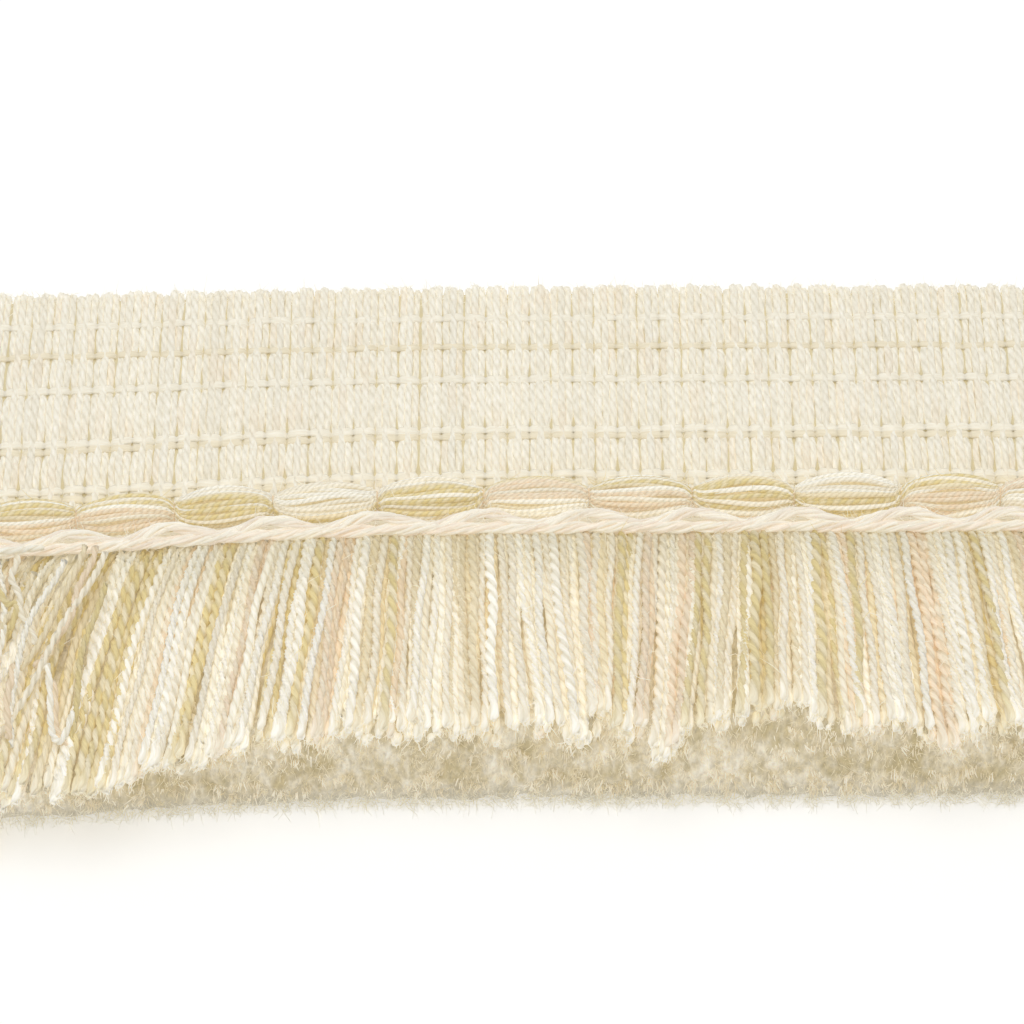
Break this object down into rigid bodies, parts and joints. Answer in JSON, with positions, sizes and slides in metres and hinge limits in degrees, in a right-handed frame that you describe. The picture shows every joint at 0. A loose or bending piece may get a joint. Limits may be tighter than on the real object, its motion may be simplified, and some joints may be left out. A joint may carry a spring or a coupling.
{
  "type": "brush fringe trim",
  "caption": "Cut length of thick cream brush fringe lying flat: ribbed heading tape, tied gimp puffs, twisted binding cord and a dense row of cut yarn locks.",
  "frame": {"origin": "middle of the heading tape's flat back, on the surface that the trim lies on", "axes": "+X along the trim's length, +Y across it towards the tape's free edge with the brush at -Y, +Z out of the tape's face"},
  "size_m": [0.1082, 0.0512, 0.0078],
  "materials": {
    "tape_weave": "matt ribbed weave of cream twisted yarn",
    "gimp_yarn": "soft loose yarns in cream, olive and peach",
    "binding_yarn": "smooth pale yarn with a faint sheen",
    "brush_yarn": "matt twisted yarn in cream, olive and peach, fuzzy where it is cut",
    "tie_thread": "fine pale thread"
  },
  "bodies": {
    "root": {"heading_tape": "tape_weave", "gimp_bundle": "gimp_yarn", "binding_cord": "binding_yarn", "brush_fringe": "brush_yarn", "tie_01": "tie_thread", "tie_02": "tie_thread", "tie_03": "tie_thread", "tie_04": "tie_thread", "tie_05": "tie_thread", "tie_06": "tie_thread", "tie_07": "tie_thread", "tie_08": "tie_thread", "tie_09": "tie_thread", "tie_10": "tie_thread", "tie_11": "tie_thread", "tie_12": "tie_thread", "tie_13": "tie_thread"}
  },
  "joints": []
}
